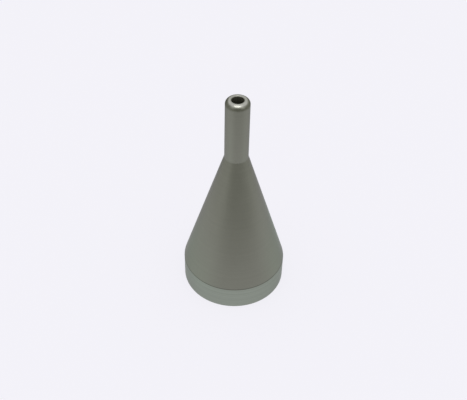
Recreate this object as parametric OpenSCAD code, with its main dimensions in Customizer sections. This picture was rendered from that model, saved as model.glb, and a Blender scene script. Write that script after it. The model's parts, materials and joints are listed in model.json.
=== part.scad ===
// Selective soldering nozzle, turned from one piece of iron and hollow from end to end.
// Molten solder comes up through the seat, the tapered passage and the outlet, and wells over the rim.
// The origin is the centre of the bottom face and +Z runs up the axis. Lengths are in millimetres.

/* [Seat] */
// Diameter of the seat that slips over the solder riser
seat_d = 30; // [22:0.5:44]
// Depth of the seat, from the bottom face up to its shoulder
seat_depth = 8; // [3:0.5:12]
// Lead-in chamfer round the mouth of the seat
seat_lead = 0.5; // [0.2:0.1:1.2]
// Width of the shoulder that stops on the riser's rim
shoulder_w = 2; // [0.5:0.25:5]

/* [Base] */
// Wall of the base land round the seat
land_wall = 3; // [2:0.25:8]
// Height of the base land
land_h = 8.75; // [4:0.25:16]
// Chamfer on the bottom outside edge
edge_break = 0.2; // [0.1:0.1:1]

/* [Cone] */
// Height of the cone, from the land up to the foot of the neck
cone_h = 46; // [25:1:80]

/* [Neck] */
// Length of the neck, from its foot up to the rim
neck_h = 22.25; // [8:0.25:45]
// Wall of the neck round the outlet
neck_wall = 2; // [1.7:0.1:5]
// Tool radius left in the corner at the foot of the neck
neck_fillet = 1; // [0.2:0.1:4]
// Rounding over the outside of the rim
rim_round = 1.5; // [0.3:0.1:1.6]

/* [Outlet] */
// Diameter of the outlet's straight bore
outlet_d = 4; // [2:0.25:12]
// Rounding of the outlet's mouth
mouth_round = 0.3; // [0.1:0.05:0.6]
// Length of straight bore below the foot of the neck, above the tapered passage
throat_drop = 4.5; // [0.5:0.5:15]

/* [Hidden] */
$fn = 128;

// Radii from the axis
seat_r = seat_d / 2;
land_r = seat_r + land_wall;
passage_r = seat_r - shoulder_w;
outlet_r = outlet_d / 2;
neck_r = outlet_r + neck_wall;

// Heights above the bottom face
foot_z = land_h + cone_h;
rim_z = foot_z + neck_h;
throat_z = foot_z - throat_drop;

// Least flat left on the rim between its two roundings, which the neck's wall limits
rim_flat = 0.1;
mouth_r = min(mouth_round, neck_wall / 4);
rim_r = min(rim_round, neck_wall - mouth_r - rim_flat);

// Lean of the cone's side from the axis
lean = atan((land_r - neck_r) / cone_h);

// Fillet at the foot of the neck: its reach along each side, and its centre from the corner
fillet_reach = neck_fillet * tan(lean / 2);
fillet_centre = [neck_fillet, fillet_reach];

// How far a cut runs out past the face that it opens
overrun = 1;

// Outside of the nozzle: land, cone and neck, drawn from the corner at the foot of the neck
module outer_section() {
    translate([neck_r, foot_z]) difference() {
        polygon([
            [-neck_r, -foot_z],
            [land_r - edge_break - neck_r, -foot_z],
            [land_r - neck_r, edge_break - foot_z],
            [land_r - neck_r, -cone_h],
            fillet_reach * [sin(lean), -cos(lean)],
            fillet_centre,
            [0, fillet_reach],
            [0, neck_h],
            [-neck_r, neck_h]
        ]);
        translate(fillet_centre) circle(neck_fillet);
    }
}

// Way through the nozzle: seat with its lead-in, shoulder, tapered passage and straight outlet
module passage_section() {
    polygon([
        [0, -overrun],
        [seat_r + seat_lead + overrun, -overrun],
        [seat_r, seat_lead],
        [seat_r, seat_depth],
        [passage_r, seat_depth],
        [outlet_r, throat_z],
        [outlet_r, rim_z + overrun],
        [0, rim_z + overrun]
    ]);
}

// What rounding takes off an outside corner, drawn from the centre of the arc
module round_over(r) {
    difference() {
        square(r + overrun);
        circle(r);
    }
}

// Half section of the wall, right of the axis
module wall_section() {
    difference() {
        outer_section();
        passage_section();
        translate([neck_r - rim_r, rim_z - rim_r]) round_over(rim_r);
        translate([outlet_r + mouth_r, rim_z - mouth_r]) mirror([1, 0]) round_over(mouth_r);
    }
}

// The nozzle, one turned piece
module nozzle() {
    color("#74756D") rotate_extrude() wall_section();
}

nozzle();
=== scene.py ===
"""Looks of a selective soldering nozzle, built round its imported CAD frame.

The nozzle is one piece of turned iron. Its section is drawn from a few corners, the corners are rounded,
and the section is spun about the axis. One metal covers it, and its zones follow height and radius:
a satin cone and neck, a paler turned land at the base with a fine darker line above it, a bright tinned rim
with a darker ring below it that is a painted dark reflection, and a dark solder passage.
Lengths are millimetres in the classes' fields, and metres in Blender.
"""

from __future__ import annotations

import json
import logging
import math
from dataclasses import dataclass
from enum import Enum
from typing import Any

import bmesh
import bpy
from mathutils import Matrix, Vector

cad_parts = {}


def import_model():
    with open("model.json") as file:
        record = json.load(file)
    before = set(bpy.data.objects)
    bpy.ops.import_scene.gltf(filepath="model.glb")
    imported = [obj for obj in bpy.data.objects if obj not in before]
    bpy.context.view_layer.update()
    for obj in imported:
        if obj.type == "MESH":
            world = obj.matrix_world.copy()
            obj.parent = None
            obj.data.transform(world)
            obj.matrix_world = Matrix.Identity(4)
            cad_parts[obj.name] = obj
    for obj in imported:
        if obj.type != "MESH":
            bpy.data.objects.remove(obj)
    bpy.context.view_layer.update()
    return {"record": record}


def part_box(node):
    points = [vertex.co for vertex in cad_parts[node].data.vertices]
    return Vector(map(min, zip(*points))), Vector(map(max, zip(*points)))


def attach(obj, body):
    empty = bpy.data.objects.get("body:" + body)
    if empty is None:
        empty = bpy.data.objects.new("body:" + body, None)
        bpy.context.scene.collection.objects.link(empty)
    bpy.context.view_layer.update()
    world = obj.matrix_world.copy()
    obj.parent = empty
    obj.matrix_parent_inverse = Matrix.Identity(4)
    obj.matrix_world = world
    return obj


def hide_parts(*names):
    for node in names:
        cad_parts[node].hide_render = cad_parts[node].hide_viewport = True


LOG = logging.getLogger("nozzle_scene")
MM = 0.001

UP_AXIS = (0.0, 0.0, 1.0)
ORIGIN = (0.0, 0.0, 0.0)

Colour = tuple[float, float, float]


class Zone(Enum):
    """The zones of the nozzle's surface that are finished differently, and the painted dark reflection below
    the rim.
    """

    BODY = "body"
    LAND = "land"
    # Painted dark reflection: a darker ring below the rim, for the dark surroundings that the rim's rounding
    # mirrors.
    PAINTED_DARK_RING = "temper"
    RIM = "rim"
    PASSAGE = "passage"


@dataclass(frozen=True)
class Finish:
    """How one zone of the metal looks.

    Attributes:
        colour: Linear colour of the metal.
        roughness: Roughness of the metal, from 0 for a mirror to 1.
        rings: How strongly the turning marks show, from 0 to 1 for the land's.
        metallic: How bare the metal is, from 0 under a full coat of oxide to 1.
    """

    colour: Colour
    roughness: float
    rings: float
    metallic: float = 1.0


FINISHES: dict[Zone, Finish] = {
    Zone.BODY: Finish(colour=(0.244, 0.249, 0.209), roughness=0.32, rings=0.25),
    Zone.LAND: Finish(colour=(0.297, 0.329, 0.278), roughness=0.38, rings=1.00),
    # Painted dark reflection: darker than the body, standing in for the dark surroundings that the rim's
    # rounding mirrors.
    Zone.PAINTED_DARK_RING: Finish(colour=(0.186, 0.190, 0.152), roughness=0.32, rings=0.25),
    Zone.RIM: Finish(colour=(0.462, 0.466, 0.408), roughness=0.32, rings=0.10),
    Zone.PASSAGE: Finish(colour=(0.060, 0.060, 0.040), roughness=0.55, rings=0.40, metallic=0.2),
}


class Signal:
    """One value in a shader, with the operators that combine such values."""

    def __init__(self, bench: Bench, maker: bpy.types.Node, output: str | int) -> None:
        """Wraps one output of a node.

        Args:
            bench: The bench that added the node.
            maker: The node that makes the value.
            output: The output that carries the value, by name or number.
        """
        self.bench = bench
        self.maker = maker
        self.output = output

    def math(self, operation: str, first: Any, second: Any) -> Signal:
        """Adds a Math node.

        Args:
            operation: The Math node's operation.
            first: Its first value, a signal or a number.
            second: Its second value, a signal or a number.

        Returns:
            The result's signal.
        """
        return self.bench.node("ShaderNodeMath", {"operation": operation}, {0: first, 1: second})

    def __add__(self, other: Any) -> Signal:
        """Sum."""
        return self.math("ADD", self, other)

    def __radd__(self, other: Any) -> Signal:
        """Sum, from the right."""
        return self.math("ADD", other, self)

    def __sub__(self, other: Any) -> Signal:
        """Difference."""
        return self.math("SUBTRACT", self, other)

    def __rsub__(self, other: Any) -> Signal:
        """Difference, from the right."""
        return self.math("SUBTRACT", other, self)

    def __mul__(self, other: Any) -> Signal:
        """Product."""
        return self.math("MULTIPLY", self, other)

    def __rmul__(self, other: Any) -> Signal:
        """Product, from the right."""
        return self.math("MULTIPLY", other, self)


class Bench:
    """Adds nodes to one node tree and links them."""

    MIX_FACTOR, MIX_FIRST, MIX_SECOND, MIX_RESULT = 0, 6, 7, 2

    def __init__(self, tree: bpy.types.NodeTree) -> None:
        """Starts on an empty tree.

        Args:
            tree: The node tree, which is cleared.
        """
        self.tree = tree
        tree.nodes.clear()

    def node(
        self,
        kind: str,
        settings: dict[str, Any] | None = None,
        inputs: dict[str | int, Any] | None = None,
        output: str | int = 0,
    ) -> Signal:
        """Adds one node.

        Args:
            kind: The node's type.
            settings: Its own settings, set first.
            inputs: Values or signals for its sockets, by name or number.
            output: The output that is wanted, by name or number.

        Returns:
            The signal of that output.
        """
        made = self.tree.nodes.new(kind)
        for name, value in (settings or {}).items():
            setattr(made, name, value)
        for key, value in (inputs or {}).items():
            self.feed(made.inputs[key], value)
        return Signal(self, made, output)

    def feed(self, socket: bpy.types.NodeSocket, value: Any) -> None:
        """Links a signal to an input socket, or sets the socket to a plain value.

        Args:
            socket: The input socket.
            value: A signal, a number, a colour or a vector.
        """
        if isinstance(value, Signal):
            self.tree.links.new(value.maker.outputs[value.output], socket)
        elif isinstance(value, tuple) and socket.type == "RGBA":
            socket.default_value = (*value, 1.0)
        else:
            socket.default_value = value

    def dot(self, first: Signal, second: Any) -> Signal:
        """Dot product of two vectors.

        Args:
            first: The first vector.
            second: The second vector, a signal or three numbers.

        Returns:
            The product, a number.
        """
        vectors = {0: first, 1: second}
        return self.node("ShaderNodeVectorMath", {"operation": "DOT_PRODUCT"}, vectors, "Value")

    def across_axis(self, point: Signal) -> tuple[Signal, Signal]:
        """The part of a point's place that lies across the upright axis.

        Args:
            point: The point.

        Returns:
            That part, a vector, and its length.
        """
        level = {0: point, 1: (1.0, 1.0, 0.0)}
        across = self.node("ShaderNodeVectorMath", {"operation": "MULTIPLY"}, level)
        return across, self.node("ShaderNodeVectorMath", {"operation": "LENGTH"}, {0: across}, "Value")

    def step(self, value: Signal, start: Any, stop: Any) -> Signal:
        """A soft step.

        Args:
            value: The signal that is tested.
            start: Where the step leaves 0.
            stop: Where it reaches 1.

        Returns:
            A mask from 0 to 1.
        """
        inputs = {"Value": value, "From Min": start, "From Max": stop}
        return self.node("ShaderNodeMapRange", {"interpolation_type": "SMOOTHSTEP"}, inputs)

    def blend(self, factor: Any, first: Any, second: Any, how: str = "MIX") -> Signal:
        """Mixes two colours.

        Args:
            factor: How much of the second colour shows, a signal or a number.
            first: The first colour.
            second: The second colour.
            how: The Mix node's blend type.

        Returns:
            The mixed colour.
        """
        settings = {"data_type": "RGBA", "blend_type": how}
        inputs = {self.MIX_FACTOR: factor, self.MIX_FIRST: first, self.MIX_SECOND: second}
        return self.node("ShaderNodeMix", settings, inputs, self.MIX_RESULT)

    def noise(self, where: Signal, scale: float, detail: float = 2.0) -> Signal:
        """Noise in space, from 0 to 1.

        Args:
            where: The point, in the units of the scale.
            scale: How many patches there are to a unit.
            detail: How many finer layers are added.

        Returns:
            The noise.
        """
        return self.node("ShaderNodeTexNoise", {}, {"Vector": where, "Scale": scale, "Detail": detail})

    def rings(self, along: Signal, scale: float, detail: float = 2.0) -> Signal:
        """Noise along one line, which makes rings round the axis.

        Args:
            along: The place on the line.
            scale: How many rings there are to a unit.
            detail: How many finer layers are added.

        Returns:
            The noise.
        """
        inputs = {"W": along, "Scale": scale, "Detail": detail}
        return self.node("ShaderNodeTexNoise", {"noise_dimensions": "1D"}, inputs)


@dataclass(frozen=True)
class Corner:
    """One corner of the nozzle's section, in millimetres.

    Attributes:
        radius: Distance from the axis.
        height: Height above the bottom face.
        reach: How far its rounding runs along each side.
        segments: How many straight runs make its arc.
    """

    radius: float
    height: float
    reach: float
    segments: int


@dataclass
class Nozzle:
    """The turned nozzle, in millimetres.

    The base's radius, the height, the seat's radius and the outlet's radius come from the frame.

    Attributes:
        base_r: Outside radius of the base land.
        height: Height of the nozzle.
        seat_r: Radius of the seat.
        outlet_r: Radius of the outlet's bore.
        land_h: Height of the base land.
        neck_h: Length of the neck, from its foot to the rim.
        neck_wall: Wall of the neck round the outlet.
        neck_fillet: Tool radius at the foot of the neck.
        rim_round: Rounding over the outside of the rim.
        mouth_round: Rounding of the outlet's mouth.
        edge_break: Chamfer on the bottom outside edge.
        seat_depth: Depth of the seat.
        seat_lead: Lead-in chamfer round the seat's mouth.
        shoulder_w: Width of the seat's shoulder.
        throat_drop: Length of straight bore below the foot of the neck.
        fine_break: Rounding of the edges that are sharp in the source.
        run_length: Longest straight run of the section that isn't divided.
        merge_distance: Distance within which points are one.
        facets: How many facets go round the axis.
    """

    base_r: float
    height: float
    seat_r: float
    outlet_r: float
    land_h: float = 8.75
    neck_h: float = 22.25
    neck_wall: float = 2.0
    neck_fillet: float = 1.0
    rim_round: float = 1.5
    mouth_round: float = 0.3
    edge_break: float = 0.2
    seat_depth: float = 8.0
    seat_lead: float = 0.5
    shoulder_w: float = 2.0
    throat_drop: float = 4.5
    fine_break: float = 0.08
    run_length: float = 0.6
    merge_distance: float = 0.001
    facets: int = 240

    @classmethod
    def from_frame(cls, record: dict[str, Any]) -> Nozzle:
        """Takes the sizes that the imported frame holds.

        Args:
            record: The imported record, whose mounts give the two bores.

        Returns:
            The nozzle at the frame's sizes.
        """
        _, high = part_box("nozzle")
        bores = {mount["name"]: mount["dims"] for mount in record["mounts"]}
        return cls(
            base_r=high.y / MM,
            height=high.z / MM,
            seat_r=bores["riser_seat"]["r_mm"],
            outlet_r=bores["outlet"]["r_mm"],
        )

    @property
    def neck_r(self) -> float:
        """Outside radius of the neck."""
        return self.outlet_r + self.neck_wall

    @property
    def foot_z(self) -> float:
        """Height of the neck's foot."""
        return self.height - self.neck_h

    @property
    def fillet_reach(self) -> float:
        """How far the fillet at the neck's foot runs along each side."""
        lean = math.atan2(self.base_r - self.neck_r, self.foot_z - self.land_h)
        return self.neck_fillet * math.tan(lean / 2)

    def corners(self) -> list[Corner]:
        """The corners of the wall's section, from the bottom face up the outside and down the inside.

        Returns:
            The corners in order.
        """
        fine = self.fine_break
        throat_z = self.foot_z - self.throat_drop
        passage_r = self.seat_r - self.shoulder_w
        return [
            Corner(self.seat_r + self.seat_lead, 0.0, fine, 3),
            Corner(self.base_r - self.edge_break, 0.0, fine, 3),
            Corner(self.base_r, self.edge_break, fine, 3),
            Corner(self.base_r, self.land_h, fine, 3),
            Corner(self.neck_r, self.foot_z, self.fillet_reach, 6),
            Corner(self.neck_r, self.height, self.rim_round, 20),
            Corner(self.outlet_r, self.height, self.mouth_round, 8),
            Corner(self.outlet_r, throat_z, fine, 3),
            Corner(passage_r, self.seat_depth, fine, 3),
            Corner(self.seat_r, self.seat_depth, fine, 3),
            Corner(self.seat_r, self.seat_lead, fine, 3),
        ]

    def build(self) -> bpy.types.Object:
        """Rounds the section's corners and spins it about the axis.

        Returns:
            The nozzle's object, at the origin.
        """
        shape = bmesh.new()
        self.draw_section(shape)
        self.divide_runs(shape)
        bmesh.ops.spin(
            shape,
            geom=shape.verts[:] + shape.edges[:],
            cent=ORIGIN,
            axis=UP_AXIS,
            angle=math.tau,
            steps=self.facets,
            use_merge=True,
        )
        bmesh.ops.remove_doubles(shape, verts=shape.verts[:], dist=self.merge_distance * MM)
        bmesh.ops.recalc_face_normals(shape, faces=shape.faces[:])
        self.order_faces(shape)
        for face in shape.faces:
            face.smooth = True
        mesh = bpy.data.meshes.new("turned_nozzle")
        shape.to_mesh(mesh)
        shape.free()
        piece = bpy.data.objects.new("turned_nozzle", mesh)
        bpy.context.scene.collection.objects.link(piece)
        return piece

    def draw_section(self, shape: bmesh.types.BMesh) -> None:
        """Draws the closed section of the wall, with its corners rounded.

        Args:
            shape: The empty mesh that it is drawn in.
        """
        corners = self.corners()
        points = [shape.verts.new((corner.radius * MM, 0.0, corner.height * MM)) for corner in corners]
        for first, second in zip(points, points[1:] + points[:1]):
            shape.edges.new((first, second))
        for corner, point in zip(corners, points):
            bmesh.ops.bevel(
                shape,
                geom=[point],
                offset=corner.reach * MM,
                offset_type="ABSOLUTE",
                segments=corner.segments,
                profile=0.5,
                affect="VERTICES",
                material=-1,
            )

    def divide_runs(self, shape: bmesh.types.BMesh) -> None:
        """Divides the section's long straight runs, so that shading stays even beside the roundings.

        Args:
            shape: The mesh that holds the section.
        """
        for edge in shape.edges[:]:
            cuts = int(edge.calc_length() / (self.run_length * MM))
            if cuts:
                bmesh.ops.subdivide_edges(shape, edges=[edge], cuts=cuts)

    def order_faces(self, shape: bmesh.types.BMesh) -> None:
        """Puts the faces in a fixed order, because the spin lists them in another one each time.

        Args:
            shape: The spun mesh.
        """
        shape.verts.index_update()
        ordered = sorted(shape.faces, key=lambda face: sorted(point.index for point in face.verts))
        for place, face in enumerate(ordered):
            face.index = place
        shape.faces.sort()

    def dress(self, piece: bpy.types.Object) -> None:
        """Gives the piece its metal.

        Args:
            piece: The nozzle's object.
        """
        piece.data.materials.append(TurnedMetal(self).make())


@dataclass(frozen=True)
class Marks:
    """The marks in the metal: how many there are to a millimetre, and how far each one shows.

    Attributes:
        fine_rings: Fine turning marks to a millimetre.
        broad_rings: Broad turning marks to a millimetre.
        grain: Specks of the satin surface to a millimetre.
        patches: Dull and clean patches to a millimetre.
        ring_tone: How far the broad rings change the tone.
        patch_tone: How far the patches change the tone.
        ring_roughness: How far the fine rings change the roughness.
        patch_roughness: How far the patches change the roughness.
        grain_relief: Depth of the grain, beside the depth of the rings.
        relief_depth: Depth of the fine rings, in millimetres.
        relief_strength: How strongly the relief shows.
    """

    fine_rings: float = 6.0
    broad_rings: float = 1.3
    grain: float = 5.0
    patches: float = 0.12
    ring_tone: float = 0.28
    patch_tone: float = 0.10
    ring_roughness: float = 0.08
    patch_roughness: float = 0.06
    grain_relief: float = 0.4
    relief_depth: float = 0.01
    relief_strength: float = 0.12


@dataclass
class TurnedMetal:
    """The nozzle's metal, one material whose zones follow height and radius.

    Attributes:
        nozzle: The nozzle that it covers, for the places of its zones.
        marks: The turning marks, grain and patches.
        soft: Half width of the step between two zones, in millimetres.
        tin_reach: Radius at which the rim's tin has thinned to half, in millimetres.
        tin_fade: How far the tin thins to either side of that, in millimetres.
        rim_lean: How much further the rim's bright colour reaches for each millimetre to the right and to
            the back.
        tin_worn: Radii between which the tin thickens, outwards from the mouth's worn edge, in millimetres.
        dark_start: Where the passage's dark sets in below the rim, as shares of the mouth's rounding.
        flat_share: How much of a flat face's run counts for the turning marks, beside an upright one's.
        dark_ring_full: How far down from the rim the painted dark reflection is at its darkest, in
            millimetres.
        dark_ring_end: How far down from the rim it ends, in millimetres.
        line_width: Width of the fine darker line above the land, in millimetres.
        line_shade: How much darker that line is, from 0 to 1.
        anisotropy: How much the turning marks stretch reflections.
        across_marks: Turn of that stretch, in full turns, from along the marks to across them.
        edge_tint: Colour that holds the metal back where it is seen at a flat angle.
    """

    nozzle: Nozzle
    marks: Marks = Marks()
    soft: float = 0.05
    tin_reach: float = 3.10
    tin_fade: float = 0.35
    rim_lean: tuple[float, float] = (0.02, -0.14)
    tin_worn: tuple[float, float] = (1.2, 2.9)
    dark_start: tuple[float, float] = (0.4, 0.8)
    flat_share: float = 0.77
    dark_ring_full: float = 1.45
    dark_ring_end: float = 2.0
    line_width: float = 0.3
    line_shade: float = 0.45
    anisotropy: float = 0.65
    across_marks: float = 0.25
    edge_tint: Colour = (0.65, 0.65, 0.65)

    def make(self) -> bpy.types.Material:
        """Builds the material.

        Returns:
            The material.
        """
        material = bpy.data.materials.new("turned_iron")
        material.use_nodes = True
        bench = Bench(material.node_tree)
        marks = self.marks
        point = self.point_in_mm(bench)
        height, radius = self.height_and_radius(bench, point)
        masks = self.masks(bench, point, height, radius)
        along = self.along_the_section(height, radius)
        fine_rings = bench.rings(along, marks.fine_rings) - 0.5
        broad_rings = bench.rings(along, marks.broad_rings) - 0.5
        grain = bench.noise(point, marks.grain)
        patches = bench.noise(point, marks.patches) - 0.5
        ring_depth = self.over_zones(masks, {zone: finish.rings for zone, finish in FINISHES.items()})

        tone = 1.0 + patches * marks.patch_tone + broad_rings * ring_depth * marks.ring_tone
        # A fine darker line round the foot of the cone, just above the land.
        tone = tone - self.line_above_land(bench, height) * self.line_shade
        roughness = self.over_zones(masks, {zone: finish.roughness for zone, finish in FINISHES.items()})
        roughness = roughness + patches * marks.patch_roughness
        roughness = roughness + fine_rings * ring_depth * marks.ring_roughness
        relief = {
            "Strength": marks.relief_strength,
            "Distance": marks.relief_depth * MM,
            "Height": grain * marks.grain_relief + fine_rings * ring_depth,
        }
        looks = {
            "Base Color": self.toned_colour(bench, masks, tone),
            "Metallic": self.over_zones(masks, {zone: finish.metallic for zone, finish in FINISHES.items()}),
            "Roughness": roughness,
            "Anisotropic": self.anisotropy,
            "Anisotropic Rotation": self.across_marks,
            "Specular Tint": self.edge_tint,
            "Normal": bench.node("ShaderNodeBump", {}, relief),
        }
        shader = bench.node("ShaderNodeBsdfPrincipled", {}, looks)
        bench.node("ShaderNodeOutputMaterial", {}, {"Surface": shader})
        return material

    def point_in_mm(self, bench: Bench) -> Signal:
        """The point on the surface, in millimetres.

        Args:
            bench: The material's bench.

        Returns:
            The point's signal, a vector.
        """
        place = bench.node("ShaderNodeTexCoord", {}, {}, "Object")
        scale = 1.0 / MM
        return bench.node("ShaderNodeVectorMath", {"operation": "SCALE"}, {0: place, "Scale": scale})

    def height_and_radius(self, bench: Bench, point: Signal) -> tuple[Signal, Signal]:
        """Height above the bottom face and distance from the axis, in millimetres.

        Args:
            bench: The material's bench.
            point: The point on the surface.

        Returns:
            The height and the radius.
        """
        height = bench.node("ShaderNodeSeparateXYZ", {}, {0: point}, "Z")
        _, radius = bench.across_axis(point)
        return height, radius

    def along_the_section(self, height: Signal, radius: Signal) -> Signal:
        """A place that runs on over flat faces, cones and straight walls alike, for the turning marks.

        Args:
            height: Height above the bottom face.
            radius: Distance from the axis.

        Returns:
            The place along the section, in millimetres.
        """
        return height + radius * self.flat_share

    def line_above_land(self, bench: Bench, height: Signal) -> Signal:
        """Mask of the fine darker line round the foot of the cone, just above the land.

        Args:
            bench: The material's bench.
            height: Height above the bottom face.

        Returns:
            The mask.
        """
        above = height - self.nozzle.land_h
        started = bench.step(above, 0.0, self.soft)
        ended = bench.step(above, self.line_width - self.soft, self.line_width + self.soft)
        return started - ended

    def masks(self, bench: Bench, point: Signal, height: Signal, radius: Signal) -> dict[Zone, Signal]:
        """Masks of the zones that lie over the body, in the order in which they are laid.

        Args:
            bench: The material's bench.
            point: The point on the surface.
            height: Height above the bottom face.
            radius: Distance from the axis.

        Returns:
            The masks by zone.
        """
        nozzle = self.nozzle
        below_rim = nozzle.height - height
        land = 1.0 - bench.step(height, nozzle.land_h - self.soft, nozzle.land_h + self.soft)
        # Painted dark reflection: a darker ring over the rim's rounding and the top of the neck, for the
        # dark surroundings that the rounding mirrors.
        temper = 1.0 - bench.step(below_rim, self.dark_ring_full, self.dark_ring_end)
        # The rim's bright colour reaches further to the front and to the right.
        spread = bench.dot(point, (*self.rim_lean, 0.0))
        past_tin = radius - spread - self.tin_reach
        on_top = 1.0 - bench.step(below_rim, nozzle.mouth_round, nozzle.rim_round)
        rim = on_top * (1.0 - bench.step(past_tin, -self.tin_fade, self.tin_fade))
        rim = rim * bench.step(radius, *self.tin_worn)
        within = bench.step(self.inner_limit(bench, height) - radius, -self.soft, self.soft)
        dark_depths = [share * nozzle.mouth_round for share in self.dark_start]
        inside = within * bench.step(below_rim, *dark_depths)
        return {Zone.LAND: land, Zone.PAINTED_DARK_RING: temper, Zone.RIM: rim, Zone.PASSAGE: inside}

    def inner_limit(self, bench: Bench, height: Signal) -> Signal:
        """Radius that parts the inside of the nozzle from its outside, in the wall at each height.

        Args:
            bench: The material's bench.
            height: Height above the bottom face.

        Returns:
            The radius, in millimetres.
        """
        nozzle = self.nozzle
        middle_of_neck_wall = nozzle.outlet_r + nozzle.neck_wall / 2
        run = {
            "Value": height,
            "From Min": nozzle.land_h,
            "From Max": nozzle.foot_z,
            "To Min": nozzle.seat_r + nozzle.seat_lead,
            "To Max": middle_of_neck_wall,
        }
        return bench.node("ShaderNodeMapRange", {}, run)

    def over_zones(self, masks: dict[Zone, Signal], values: dict[Zone, float]) -> Any:
        """Lays one number per zone over the surface.

        Args:
            masks: The masks by zone, in the order in which they are laid.
            values: The number of each zone.

        Returns:
            The number at each point.
        """
        level: Any = values[Zone.BODY]
        for zone, mask in masks.items():
            level = level + mask * (values[zone] - level)
        return level

    def toned_colour(self, bench: Bench, masks: dict[Zone, Signal], tone: Signal) -> Signal:
        """Lays the zones' colours over the surface and shades them.

        Args:
            bench: The material's bench.
            masks: The masks by zone, in the order in which they are laid.
            tone: How light the metal is at each point, with 1 for its plain colour.

        Returns:
            The colour at each point.
        """
        colour: Any = FINISHES[Zone.BODY].colour
        for zone, mask in masks.items():
            colour = bench.blend(mask, colour, FINISHES[zone].colour)
        grey = bench.node("ShaderNodeCombineColor", {}, {0: tone, 1: tone, 2: tone})
        return bench.blend(1.0, colour, grey, "MULTIPLY")


@dataclass
class Studio:
    """A pale seamless room lit from above, with a grey surround that only reflections show.

    Attributes:
        pale: Linear colour of the floor and of the light all round.
        floor_radius: Radius of the floor, in metres.
        floor_facets: How many facets go round the floor.
        floor_gap: How far the floor lies under the object, in metres.
        floor_glow: Share of the floor's colour that is its own light, as on a light table.
        lamp_radius: Radius of the round lamp above, in metres.
        lamp_height: Height of the lamp, in metres.
        lamp_forward: How far the lamp stands in front of the object, in metres.
        lamp_power: Power of the lamp, in watts.
        cove_radius: Distance from the axis at which the floor starts to pass into the surround, in metres.
        cove_pull: How much nearer that starts where the surround is darkest, in metres.
        cove_gap: How far the surround's foot lies over the floor, in metres.
        cool: Linear colour that the object mirrors from the floor beside it.
        shade: Linear colour that the object mirrors from the floor in front of it and behind it.
        cool_start: Radii between which those two colours set in, in metres.
        cool_end: Radii between which they pass into the floor's colour again, in metres.
        wall_facets: How many facets go round the surround.
        wall_radius: Distance of the grey surround from the axis, in metres.
        wall_front_height: Height of the surround in front, in metres.
        wall_back_height: Height of the surround behind, in metres.
        wall_turn_deg: How far the surround's darkest part stands to the right of the front.
        wall_dark: Linear colour of the surround where it is darkest, in front and behind.
        wall_light: Linear colour of the surround at the sides.
        front_fade: Where the front's grey starts and is full, as a cosine of the angle from its middle.
        back_fade: The same for the grey behind.
        panels_deg: Where the bright panels stand on the surround, counted from the front to the right.
        panel_half_deg: Half the width of a panel.
        panel_soft_deg: How far a panel fades at its sides.
        panel_foot: Height of the panels' feet at the sides, in metres. Behind they reach the floor.
        panel_soft: How far a panel fades at its foot, in metres.
        panel_light: Linear colour of the panels.
    """

    pale: Colour = (0.893, 0.884, 0.934)
    floor_radius: float = 4.0
    floor_facets: int = 96
    floor_gap: float = 0.00002
    floor_glow: float = 0.9
    lamp_radius: float = 0.30
    lamp_height: float = 0.90
    lamp_forward: float = 0.12
    lamp_power: float = 1.8
    cove_radius: float = 0.09
    cove_pull: float = 0.02
    cove_gap: float = 0.0001
    cool: Colour = (0.850, 0.950, 0.923)
    shade: Colour = (0.760, 0.755, 0.780)
    cool_start: tuple[float, float] = (0.025, 0.037)
    cool_end: tuple[float, float] = (0.040, 0.068)
    wall_facets: int = 64
    wall_radius: float = 0.17
    wall_front_height: float = 0.30
    wall_back_height: float = 0.19
    wall_turn_deg: float = 15.0
    wall_dark: Colour = (0.43, 0.43, 0.41)
    wall_light: Colour = (0.60, 0.60, 0.58)
    front_fade: tuple[float, float] = (0.27, 0.98)
    back_fade: tuple[float, float] = (0.60, 1.00)
    panels_deg: tuple[float, ...] = (-50.0, 50.0, 180.0)
    panel_half_deg: float = 16.0
    panel_soft_deg: float = 8.0
    panel_foot: float = 0.05
    panel_soft: float = 0.03
    panel_light: Colour = (0.95, 0.95, 0.95)

    def build(self) -> None:
        """Builds the floor, the surround, the lamp and the world."""
        self.build_floor()
        self.build_surround()
        self.build_lamp()
        self.build_world()

    def add_stage(
        self,
        name: str,
        shape: bmesh.types.BMesh,
        material: bpy.types.Material,
    ) -> bpy.types.Object:
        """Makes a mesh a stage object.

        Args:
            name: The object's name.
            shape: Its mesh, which is freed.
            material: Its material.

        Returns:
            The object.
        """
        mesh = bpy.data.meshes.new(name)
        shape.to_mesh(mesh)
        shape.free()
        mesh.materials.append(material)
        thing = bpy.data.objects.new(name, mesh)
        bpy.context.scene.collection.objects.link(thing)
        return thing

    def build_floor(self) -> None:
        """Lays the round pale floor just under the object."""
        shape = bmesh.new()
        under = Matrix.Translation((0.0, 0.0, -self.floor_gap))
        bmesh.ops.create_circle(
            shape,
            cap_ends=True,
            segments=self.floor_facets,
            radius=self.floor_radius,
            matrix=under,
        )
        self.add_stage("floor", shape, self.floor_material())

    def floor_material(self) -> bpy.types.Material:
        """Pale matt floor, which glows for the camera and for what mirrors it.

        Returns:
            The material.
        """
        material = bpy.data.materials.new("pale_floor")
        material.use_nodes = True
        bench = Bench(material.node_tree)
        rays = ("Is Camera Ray", "Is Glossy Ray", "Is Transmission Ray")
        camera, glossy, transmission = [bench.node("ShaderNodeLightPath", {}, {}, ray) for ray in rays]
        seen = (camera + glossy + transmission) * self.floor_glow
        matt = bench.node("ShaderNodeBsdfDiffuse", {}, {"Color": self.pale})
        glow = bench.node("ShaderNodeEmission", {}, {"Color": self.pale, "Strength": 1.0})
        floor = bench.node("ShaderNodeMixShader", {}, {0: seen, 1: matt, 2: glow})
        bench.node("ShaderNodeOutputMaterial", {}, {"Surface": floor})
        return material

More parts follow.
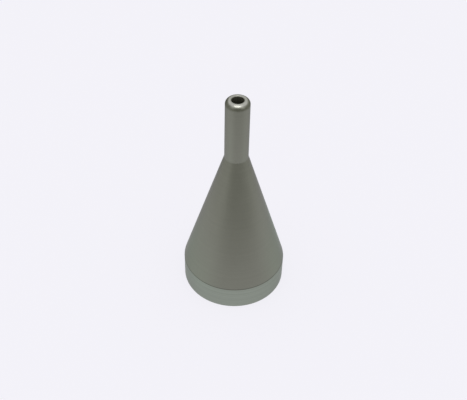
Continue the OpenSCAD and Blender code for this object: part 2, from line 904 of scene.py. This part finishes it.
    def build_surround(self) -> None:
        """Lays the surround's ring and stands its wall, cut on a slant so that it is high in front."""
        shape = bmesh.new()
        start = shape.verts.new((self.cool_start[0], 0.0, self.cove_gap))
        foot = shape.verts.new((self.wall_radius, 0.0, self.cove_gap))
        top = shape.verts.new((self.wall_radius, 0.0, self.wall_front_height))
        shape.edges.new((start, foot))
        shape.edges.new((foot, top))
        bmesh.ops.spin(
            shape,
            geom=shape.verts[:] + shape.edges[:],
            cent=ORIGIN,
            axis=UP_AXIS,
            angle=math.tau,
            steps=self.wall_facets,
            use_merge=True,
        )
        rise = self.wall_front_height - self.wall_back_height
        bmesh.ops.bisect_plane(
            shape,
            geom=shape.verts[:] + shape.edges[:] + shape.faces[:],
            plane_co=(0.0, self.wall_radius, self.wall_back_height),
            plane_no=(0.0, rise, 2.0 * self.wall_radius),
            clear_outer=True,
        )
        surround = self.add_stage("grey_surround", shape, self.surround_material())
        surround.visible_camera = False
        surround.visible_diffuse = False
        surround.visible_shadow = False

    def surround_material(self) -> bpy.types.Material:
        """Grey wall with bright panels, and a ring on the floor.

        The wall is darkest in front and behind, and passes into the floor's colour at its foot. Near the
        object the ring is cool at the sides, and shaded in front and behind.

        Returns:
            The material.
        """
        material = bpy.data.materials.new("grey_surround")
        material.use_nodes = True
        bench = Bench(material.node_tree)
        place = bench.node("ShaderNodeTexCoord", {}, {}, "Object")
        across, reach = bench.across_axis(place)
        outwards = bench.node("ShaderNodeVectorMath", {"operation": "NORMALIZE"}, {0: across})
        facing = bench.dot(outwards, self.level_direction(self.wall_turn_deg))
        grey = bench.step(facing, *self.front_fade) + bench.step(facing * -1.0, *self.back_fade)
        wall = bench.blend(grey, self.wall_light, self.wall_dark)
        cove = bench.step(reach + grey * self.cove_pull, self.cove_radius, self.wall_radius)
        beside = bench.step(reach, *self.cool_start) - bench.step(reach, *self.cool_end)
        near = bench.blend(beside, self.pale, bench.blend(grey, self.cool, self.shade))
        colour = bench.blend(cove, near, wall)
        colour = bench.blend(self.panel_mask(bench, place, outwards), colour, self.panel_light)
        glow = bench.node("ShaderNodeEmission", {}, {"Color": colour, "Strength": 1.0})
        bench.node("ShaderNodeOutputMaterial", {}, {"Surface": glow})
        return material

    def level_direction(self, angle_deg: float) -> tuple[float, float, float]:
        """A level direction from the axis.

        Args:
            angle_deg: Its angle, counted from the front to the right.

        Returns:
            The direction, of length 1.
        """
        turn = math.radians(angle_deg)
        return (math.sin(turn), -math.cos(turn), 0.0)

    def panel_mask(self, bench: Bench, place: Signal, outwards: Signal) -> Signal:
        """Mask of the bright panels, whose feet slope from high in front to the floor behind.

        Args:
            bench: The material's bench.
            place: The point on the surround.
            outwards: The level direction from the axis to that point.

        Returns:
            The mask.
        """
        slope = self.panel_foot / self.wall_radius
        over_foot = bench.dot(place, (0.0, slope, 1.0))
        high = bench.step(over_foot, self.panel_foot, self.panel_foot + self.panel_soft)
        edge = math.cos(math.radians(self.panel_half_deg + self.panel_soft_deg))
        full = math.cos(math.radians(self.panel_half_deg - self.panel_soft_deg))
        mask: Any = 0.0
        for angle in self.panels_deg:
            facing = bench.dot(outwards, self.level_direction(angle))
            mask = mask + bench.step(facing, edge, full)
        return mask * high

    def build_lamp(self) -> None:
        """Hangs the soft lamp above and a little in front, aimed at the object."""
        data = bpy.data.lights.new("soft_lamp", "AREA")
        data.shape = "DISK"
        data.size = 2.0 * self.lamp_radius
        data.energy = self.lamp_power
        lamp = bpy.data.objects.new("soft_lamp", data)
        lamp.location = (0.0, -self.lamp_forward, self.lamp_height)
        lamp.rotation_euler = (math.atan2(self.lamp_forward, self.lamp_height), 0.0, 0.0)
        bpy.context.scene.collection.objects.link(lamp)

    def build_world(self) -> None:
        """Sets the pale light all round."""
        world = bpy.data.worlds.new("pale_room")
        world.use_nodes = True
        bench = Bench(world.node_tree)
        light = bench.node("ShaderNodeBackground", {}, {"Color": self.pale, "Strength": 1.0})
        bench.node("ShaderNodeOutputWorld", {}, {"Surface": light})
        bpy.context.scene.world = world


@dataclass
class PhotoCamera:
    """The camera at the photograph's viewing angle.

    Attributes:
        image_width: Width of the image, in pixels.
        focal_px: Focal length, in pixels of that image.
        elevation_deg: How far the camera looks down.
        distance: Distance from the point it looks at, in millimetres.
        aim_height: Height of that point, in millimetres.
        aim_side: How far that point lies left of the axis, in millimetres.
        roll_deg: Turn of the camera about its own line of sight.
        sensor_width: Width of the sensor, in millimetres.
        clip_start: Nearest distance that is seen, in metres.
    """

    image_width: int = 467
    focal_px: float = 787.0
    elevation_deg: float = 42.8
    distance: float = 270.0
    aim_height: float = 35.07
    aim_side: float = 0.602
    roll_deg: float = 1.36
    sensor_width: float = 36.0
    clip_start: float = 0.01

    def build(self) -> None:
        """Adds the camera and makes it the scene's own."""
        data = bpy.data.cameras.new("photo_camera")
        data.sensor_width = self.sensor_width
        data.lens = self.sensor_width * self.focal_px / self.image_width
        data.clip_start = self.clip_start
        elevation = math.radians(self.elevation_deg)
        aim = Vector((-self.aim_side, 0.0, self.aim_height)) * MM
        back = Vector((0.0, -math.cos(elevation), math.sin(elevation))) * self.distance * MM
        eye = Vector((0.0, 0.0, self.aim_height)) * MM + back
        look = (aim - eye).to_track_quat("-Z", "Y").to_matrix().to_4x4()
        camera = bpy.data.objects.new("photo_camera", data)
        roll = Matrix.Rotation(math.radians(self.roll_deg), 4, "Z")
        camera.matrix_world = Matrix.Translation(eye) @ look @ roll
        bpy.context.scene.collection.objects.link(camera)
        bpy.context.scene.camera = camera


def main() -> None:
    """Loads the frame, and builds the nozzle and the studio."""
    logging.basicConfig(level=logging.INFO)
    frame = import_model()
    bpy.context.scene.view_settings.view_transform = "Standard"

    PhotoCamera().build()
    LOG.info("camera placed")

    nozzle = Nozzle.from_frame(frame["record"])
    piece = nozzle.build()
    nozzle.dress(piece)
    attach(piece, "root")
    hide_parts("nozzle")
    LOG.info("%s: %d faces", piece.name, len(piece.data.polygons))

    Studio().build()
    LOG.info("studio lit")


if __name__ == "__main__":
    main()
